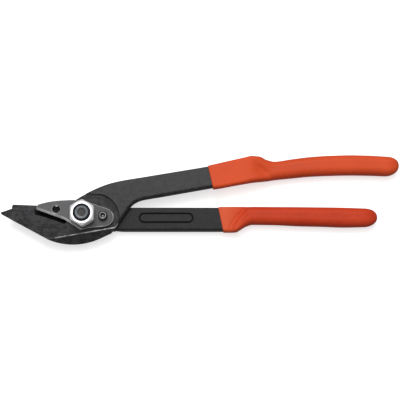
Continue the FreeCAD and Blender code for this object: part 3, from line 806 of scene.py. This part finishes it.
def rounded_outline(half_y, half_z, corner):
    """Points round a rounded rectangle, starting on the front face at its +Y end."""
    corner = max(0.02, min(corner, half_y * 0.98, half_z * 0.98))
    points = []
    quarter = math.pi / 2
    for turn, (sy, sz), count in ((0, (1, 1), SIDE_POINTS), (1, (1, -1), FACE_POINTS),
                                  (2, (-1, -1), SIDE_POINTS), (3, (-1, 1), FACE_POINTS)):
        centre = (sy * (half_y - corner), sz * (half_z - corner))
        start = quarter - quarter * turn
        for k in range(CORNER_POINTS):
            angle = start - quarter * k / (CORNER_POINTS - 1)
            points.append((centre[0] + corner * math.cos(angle), centre[1] + corner * math.sin(angle)))
        last = points[-1]
        if turn in (0, 2):
            target = (last[0], -last[1])
        else:
            target = (-last[0], last[1])
        for k in range(1, count + 1):
            share = k / (count + 1)
            points.append((last[0] + (target[0] - last[0]) * share, last[1] + (target[1] - last[1]) * share))
    return points


def soft_step(value, low, high):
    t = min(max((value - low) / (high - low), 0.0), 1.0)
    return t * t * (3 - 2 * t)


def grip_ring(stations, start, x_ring, inset, size=1.0, shift_y=0.0, sculpt=None):
    """One ring of a coat, leaning with the coat's slanted start and straightening along it."""
    (x_top, y_top), (x_bottom, y_bottom) = start
    lean = (x_top - x_bottom) / (y_top - y_bottom)
    y_middle = (y_top + y_bottom) / 2
    x_middle = (x_top + x_bottom) / 2
    fade = 1 - soft_step(x_ring, x_middle, x_middle + STRAIGHTENED_IN)
    top, bottom, front, back, corner = stations.at(x_ring)
    ring = []
    half_y = (top - bottom) / 2 - inset
    half_z = (front - back) / 2 - inset
    for y, z in rounded_outline(half_y, half_z, max(corner - inset, 0.3)):
        y0 = (top + bottom) / 2 + y
        x = x_ring + lean * (y0 - y_middle) * fade
        top_here, bottom_here, front_here, back_here, _ = stations.at(x)
        stretch = ((top_here - bottom_here) / 2 - inset) / half_y
        y1 = (top_here + bottom_here) / 2 + y * stretch * size + shift_y
        middle = (front_here + back_here) / 2
        z1 = z * size
        if sculpt and z > 0:
            z1 += sculpt(x, y1, front_here) * soft_step(z, 0.0, half_z * 0.9)
        ring.append((x, y1, middle + z1))
    return ring


def grip(name, node, body, rows, tip, start, material, sculpt):
    """A hollow dipped coat: outside, rounded lip at its start, and inside against the steel."""
    stations = Stations(rows)
    x_start = (start[0][0] + start[1][0]) / 2
    x_base = rows[-1][0]
    count = round((x_base - x_start) / RING_STEP)

    def tip_rings(inset, sculpted):
        x_tip, y_tip = tip[0] - inset, tip[1]
        top, bottom, front, back, _ = stations.at(x_base)
        rings = []
        for k in range(1, TIP_STEPS):
            turn = math.pi / 2 * k / TIP_STEPS
            share, size = math.sin(turn), math.cos(turn) ** TIP_BLUNTNESS
            centre_shift = (y_tip - (top + bottom) / 2) * share ** 2
            ring = grip_ring(stations, start, x_base, inset, size, centre_shift, sculpted)
            rings.append([(x_base + (x_tip - x_base) * share, y, z) for _, y, z in ring])
        rings.append([(x_tip, y_tip, (front + back) / 2)])
        return rings

    outside = []
    for along, share in LIP:
        outside.append(grip_ring(stations, start, x_start + along, COAT * share, sculpt=sculpt))
    for k in range(1, count + 1):
        x = x_start + (x_base - x_start) * k / count
        outside.append(grip_ring(stations, start, x, 0.0, sculpt=sculpt))
    outside += tip_rings(0.0, sculpt)

    inside = []
    for k in range(0, count + 1, 2):
        x = x_start + (x_base - x_start) * k / count
        inset = COAT_OVER_BAR + (TANG_COAT - COAT) * soft_step(x, BAR_END, BAR_END + COAT_CHANGE)
        inside.append(grip_ring(stations, start, x, inset))
    inside += tip_rings(TANG_COAT, None)

    piece = skin(name, list(reversed(inside)) + outside, (material,), sharp=60)
    normals = [vertex.normal.copy() for vertex in piece.data.vertices]
    for vertex, normal in zip(piece.data.vertices, normals):
        vertex.co += normal * noise.noise(vertex.co / MM / WOBBLE_LENGTH) * WOBBLE_DEPTH * MM
    place_in_frame(piece, node, body)


UPPER_FLAT = UPPER_STATIONS[0][3]
LOWER_FLAT = LOWER_STATIONS[0][3]
GRIP_FRONT = 14.4
# A point on the shoulder's diagonal end, and the direction straight across it.
SHOULDER_X, SHOULDER_Y = 128.8, 39.4
ACROSS_X, ACROSS_Y = 0.617, 0.787
HOLLOW_DEPTH = 1.5
CREASE_DEPTH = 0.75
CREASE_BULGE = 0.3


def valley(distance, centre, width):
    return math.exp(-((distance - centre) / width) ** 2)


def upper_sculpt(x, y, front):
    """The flat over the bar ends at a diagonal below the shoulder, with a soft valley beyond it."""
    across = (x - SHOULDER_X) * ACROSS_X + (y - SHOULDER_Y) * ACROSS_Y
    along = (x - SHOULDER_X) * ACROSS_Y - (y - SHOULDER_Y) * ACROSS_X
    flat = UPPER_FLAT - 0.9 * soft_step(x, 132.0, 146.0)
    wanted = flat + (front - flat) * soft_step(across, -7.0, 2.5)
    deep = soft_step(along, -2.0, 9.0) * (1 - soft_step(along, 12.0, 22.0))
    wanted -= HOLLOW_DEPTH * valley(across, 2.0, 5.5 if across < 2.0 else 2.4) * deep
    reach = soft_step(x, 118.0, 126.0) * (1 - soft_step(x, 146.0, 158.0))
    return (wanted - front) * reach


def lower_sculpt(x, y, front):
    """The grip's round front rises from the flat over the bar along a curved crease."""
    crease = 118.7 + 0.9 * y + 0.029 * y * y
    across = x - crease
    wanted = LOWER_FLAT + (GRIP_FRONT - LOWER_FLAT) * soft_step(across, 0.3, 4.6)
    wanted += CREASE_BULGE * valley(across, 5.0, 2.0) - CREASE_DEPTH * valley(across, 0.4, 1.7)
    reach = soft_step(x, 107.0, 111.0) * (1 - soft_step(x, 128.0, 134.0))
    return (wanted - front) * reach


grip(
    "upper_grip_dipped", "upper_grip", "upper_half",
    UPPER_STATIONS, UPPER_TIP, UPPER_START, vinyl_upper, upper_sculpt,
)
grip(
    "lower_grip_dipped", "lower_grip", "lower_half",
    LOWER_STATIONS, LOWER_TIP, LOWER_START, vinyl_lower, lower_sculpt,
)

set_materials(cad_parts["pivot_bushing"].data, (steel,))


# ---------------------------------------------------------------- stage
def floor():
    mesh = bpy.data.meshes.new("floor")
    half, drop = 8.0, -0.0002
    corners = [(-half, -half, drop), (half, -half, drop), (half, half, drop), (-half, half, drop)]
    mesh.from_pydata(corners, [], [(0, 1, 2, 3)])
    m = Material("floor_white")
    m.set(Base_Color=(0.8, 0.8, 0.8, 1.0), Roughness=0.9, Emission_Color=(1, 1, 1, 1), Emission_Strength=0.62)
    set_materials(mesh, (m.material,))
    plane = new_piece("floor", mesh)
    plane.visible_diffuse = False
    plane.visible_glossy = False


def area_light(name, place, target, size, power):
    data = bpy.data.lights.new(name, "AREA")
    data.shape = "DISK"
    data.size = size
    data.energy = power
    lamp = bpy.data.objects.new(name, data)
    lamp.location = place
    lamp.rotation_euler = (Vector(target) - Vector(place)).to_track_quat("-Z", "Y").to_euler()
    bpy.context.collection.objects.link(lamp)


def camera():
    """Looks down at the tool, 9 degrees off square, from the lower handle's side."""
    elevation = math.radians(81.0)
    distance = 0.9
    width_seen = 0.308
    target = Vector((0.0895, 0.0118, 0.014))
    data = bpy.data.cameras.new("camera")
    data.sensor_width = 36.0
    data.lens = data.sensor_width * distance / width_seen
    data.clip_start = 0.01
    view = bpy.data.objects.new("camera", data)
    view.location = target + distance * Vector((0, -math.cos(elevation), math.sin(elevation)))
    view.rotation_euler = (math.pi / 2 - elevation, 0, 0)
    bpy.context.collection.objects.link(view)
    bpy.context.scene.camera = view


floor()
camera()
centre = (0.09, 0.01, 0.0)
area_light("key", (0.0, 0.6, 0.95), centre, 0.7, 7.5)
area_light("overhead", (0.1, 0.28, 1.3), centre, 0.6, 4.5)

world = bpy.data.worlds.new("studio")
world.use_nodes = True
world.node_tree.nodes["Background"].inputs["Color"].default_value = (1, 1, 1, 1)
world.node_tree.nodes["Background"].inputs["Strength"].default_value = 0.3
bpy.context.scene.world = world
bpy.context.scene.view_settings.view_transform = "Standard"
